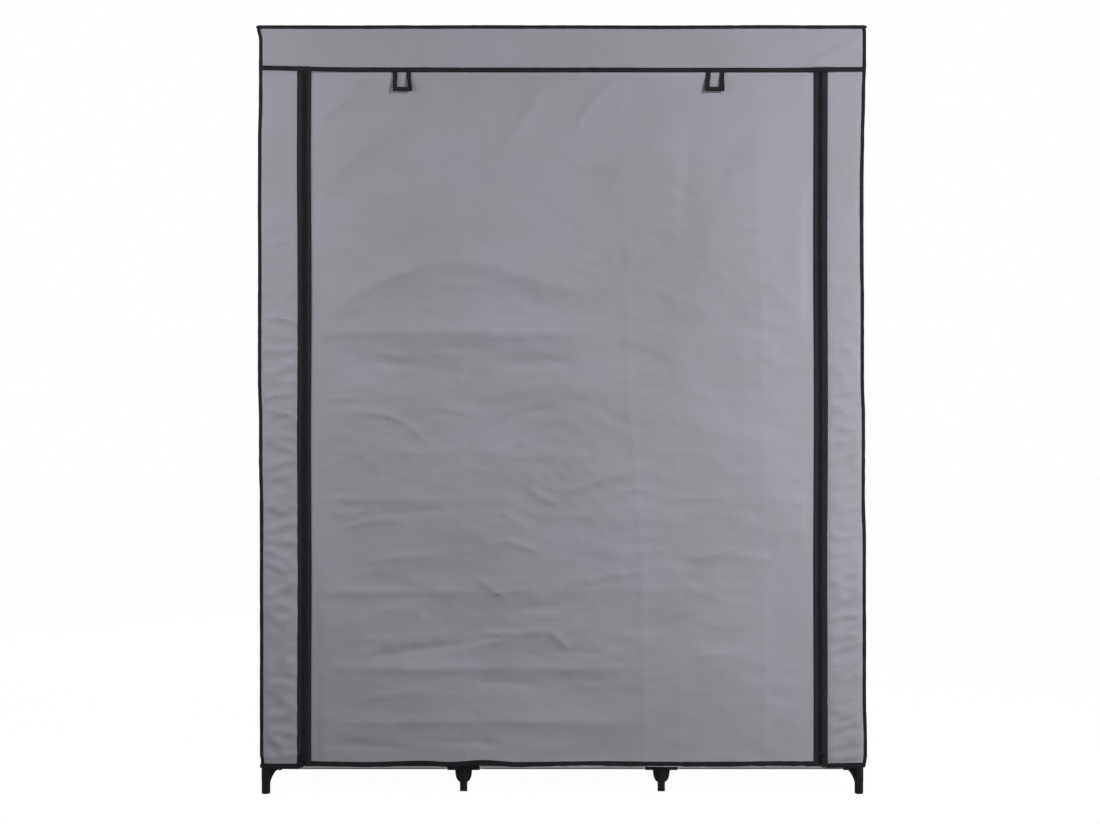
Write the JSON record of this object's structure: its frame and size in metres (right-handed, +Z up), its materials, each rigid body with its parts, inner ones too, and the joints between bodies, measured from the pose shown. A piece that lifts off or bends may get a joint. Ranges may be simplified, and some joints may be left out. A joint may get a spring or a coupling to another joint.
{
  "type": "portable fabric wardrobe",
  "caption": "Portable fabric wardrobe: a tube frame on moulded feet under a sewn cover with a zipped front door, shelves and a hanging rail.",
  "frame": {"origin": "on the floor, in the middle of the wardrobe's footprint", "axes": "+Z up, +X to the right as seen from the front, and the front with its door faces -Y"},
  "size_m": [1.341, 0.46, 1.7],
  "materials": {
    "cover_cloth": "matt non-woven cloth, grey with a slight violet tint",
    "binding_tape": "matt black bias tape",
    "zip_tape": "black woven zip tape with a moulded coil",
    "zip_metal": "satin black enamel",
    "frame_tube": "satin grey powder coat on thin steel tube",
    "connector_plastic": "matt black moulded plastic"
  },
  "bodies": {
    "root": {"foot_front_left": "connector_plastic", "foot_front_mid_left": "connector_plastic", "foot_front_mid_right": "connector_plastic", "foot_front_right": "connector_plastic", "foot_rear_left": "connector_plastic", "foot_rear_mid_left": "connector_plastic", "foot_rear_mid_right": "connector_plastic", "foot_rear_right": "connector_plastic", "top_connector_front_left": "connector_plastic", "top_connector_front_mid_left": "connector_plastic", "top_connector_front_mid_right": "connector_plastic", "top_connector_front_right": "connector_plastic", "top_connector_rear_left": "connector_plastic", "top_connector_rear_mid_left": "connector_plastic", "top_connector_rear_mid_right": "connector_plastic", "top_connector_rear_right": "connector_plastic", "post_front_left": "frame_tube", "post_front_mid_left": "frame_tube", "post_front_mid_right": "frame_tube", "post_front_right": "frame_tube", "post_rear_left": "frame_tube", "post_rear_mid_left": "frame_tube", "post_rear_mid_right": "frame_tube", "post_rear_right": "frame_tube", "bottom_front_rail": "frame_tube", "bottom_rear_rail": "frame_tube", "top_front_rail": "frame_tube", "top_rear_rail": "frame_tube", "bottom_depth_rail_left": "frame_tube", "bottom_depth_rail_mid_left": "frame_tube", "bottom_depth_rail_mid_right": "frame_tube", "bottom_depth_rail_right": "frame_tube", "top_depth_rail_left": "frame_tube", "top_depth_rail_mid_left": "frame_tube", "top_depth_rail_mid_right": "frame_tube", "top_depth_rail_right": "frame_tube", "hanging_rail": "frame_tube", "shelf_frame_1": "frame_tube", "shelf_frame_2": "frame_tube", "base_shelf": "cover_cloth", "shelf_1": "cover_cloth", "shelf_2": "cover_cloth", "roof_panel": "cover_cloth", "back_panel": "cover_cloth", "left_side_panel": "cover_cloth", "right_side_panel": "cover_cloth", "left_front_strip": "cover_cloth", "right_front_strip": "cover_cloth", "front_band": "cover_cloth", "left_zip_fixed_tape": "zip_tape", "right_zip_fixed_tape": "zip_tape"},
    "door": {"door_panel": "cover_cloth", "left_zip_door_tape": "zip_tape", "right_zip_door_tape": "zip_tape"},
    "left_slider": {"left_zip_slider": "zip_metal"},
    "right_slider": {"right_zip_slider": "zip_metal"},
    "left_pull": {"left_zip_pull": "zip_metal"},
    "right_pull": {"right_zip_pull": "zip_metal"},
    "left_loop": {"left_door_loop": "binding_tape"},
    "right_loop": {"right_door_loop": "binding_tape"}
  },
  "joints": [
    {"name": "door_lift", "type": "hinge", "parent": "root", "child": "door", "pos_m": [0, -0.2229, 1.5961], "axis": [-1, 0, 0], "range_deg": [0, 95]},
    {"name": "left_zip_slide", "type": "slide", "parent": "root", "child": "left_slider", "axis": [0, 0, 1], "range_m": [0, 1.49]},
    {"name": "right_zip_slide", "type": "slide", "parent": "root", "child": "right_slider", "axis": [0, 0, 1], "range_m": [0, 1.49]},
    {"name": "left_pull_swing", "type": "hinge", "parent": "left_slider", "child": "left_pull", "pos_m": [-0.5742, -0.2298, 0.0905], "axis": [-1, 0, 0], "range_deg": [0, 170]},
    {"name": "right_pull_swing", "type": "hinge", "parent": "right_slider", "child": "right_pull", "pos_m": [0.5742, -0.2298, 0.0905], "axis": [-1, 0, 0], "range_deg": [0, 170]},
    {"name": "left_loop_swing", "type": "hinge", "parent": "door", "child": "left_loop", "pos_m": [-0.353, -0.2246, 1.5929], "axis": [-1, 0, 0], "range_deg": [0, 70]},
    {"name": "right_loop_swing", "type": "hinge", "parent": "door", "child": "right_loop", "pos_m": [0.336, -0.2246, 1.5929], "axis": [-1, 0, 0], "range_deg": [0, 70]}
  ]
}
